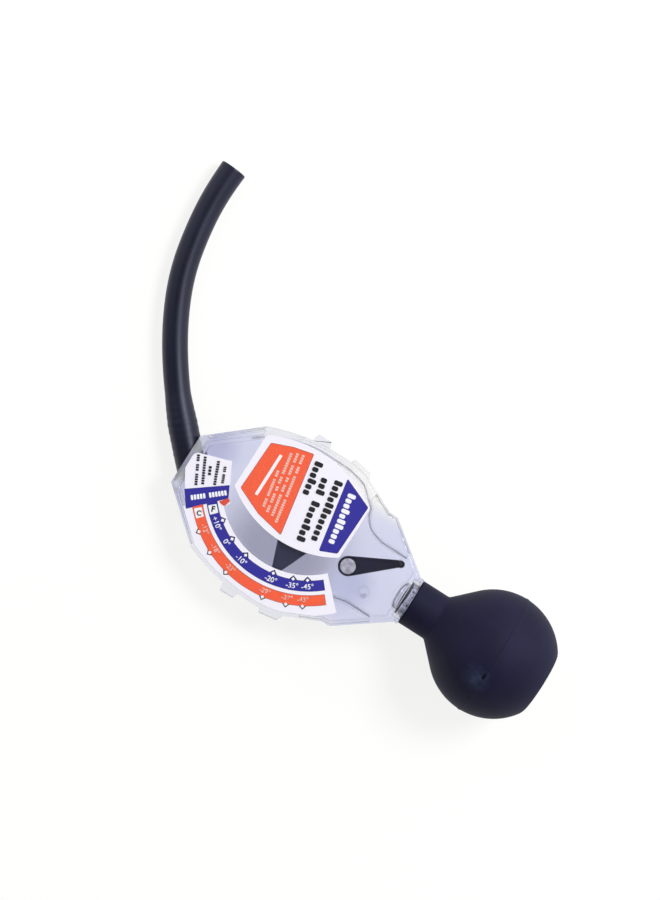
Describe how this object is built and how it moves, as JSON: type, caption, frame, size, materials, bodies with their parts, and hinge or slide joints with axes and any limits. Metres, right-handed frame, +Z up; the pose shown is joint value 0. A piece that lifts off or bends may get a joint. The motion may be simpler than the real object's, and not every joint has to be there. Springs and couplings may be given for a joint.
{
  "type": "antifreeze tester",
  "caption": "Squeeze-bulb coolant tester with a flat clear dial housing, a floating pointer over two curved scales, a plumb arm and a short suction hose.",
  "frame": {"origin": "on the floor, below the middle of the box of everything but the hose, as the tester lies at rest on its bulb, its housing's rear edge and its hose", "axes": "+Z up; +X from the hose end towards the bulb; +Y across the dial towards the side that holds the large label"},
  "size_m": [0.2111, 0.1399, 0.0498],
  "materials": {
    "clear_plastic": "clear moulded styrene, polished face",
    "sealant": "soft clear sealing bead",
    "sticker": "satin vinyl sticker printed in blue and orange",
    "nozzle_plastic": "milky moulded plastic",
    "hose_rubber": "smooth black rubber, satin",
    "gasket_rubber": "thin black washer",
    "glue": "cured clear glue with bubbles",
    "bulb_rubber": "matte black moulded rubber with a parting seam",
    "pointer_plastic": "dark moulded plastic",
    "arm_plastic": "black moulded plastic",
    "slug_metal": "mottled cast metal slug",
    "pin_steel": "plain steel pin"
  },
  "bodies": {
    "housing": {"front_shell": "clear_plastic", "rear_shell": "clear_plastic", "chamber_seal": "sealant", "main_label": "sticker", "scale_label": "sticker", "tip_label": "sticker", "hose_nozzle": "nozzle_plastic", "suction_hose": "hose_rubber", "neck_spigot": "nozzle_plastic", "neck_gasket": "gasket_rubber", "neck_glue_bead": "glue", "squeeze_bulb": "bulb_rubber", "pivot_pin": "pin_steel", "plumb_pin": "pin_steel"},
    "pointer": {"pointer_vane": "pointer_plastic", "pointer_weight": "slug_metal"},
    "plumb": {"plumb_arm": "arm_plastic", "plumb_weight": "slug_metal"}
  },
  "joints": [
    {"name": "pointer_swing", "type": "hinge", "parent": "housing", "child": "pointer", "pos_m": [-0.0335, 0.01605, 0.01305], "axis": [-0.1259, 0, 0.992], "range_deg": [-52.1, 28.9]},
    {"name": "plumb_swing", "type": "hinge", "parent": "housing", "child": "plumb", "pos_m": [0.01154, 0.01045, 0.01877], "axis": [-0.1259, 0, 0.992], "range_deg": [-31, 29]}
  ]
}
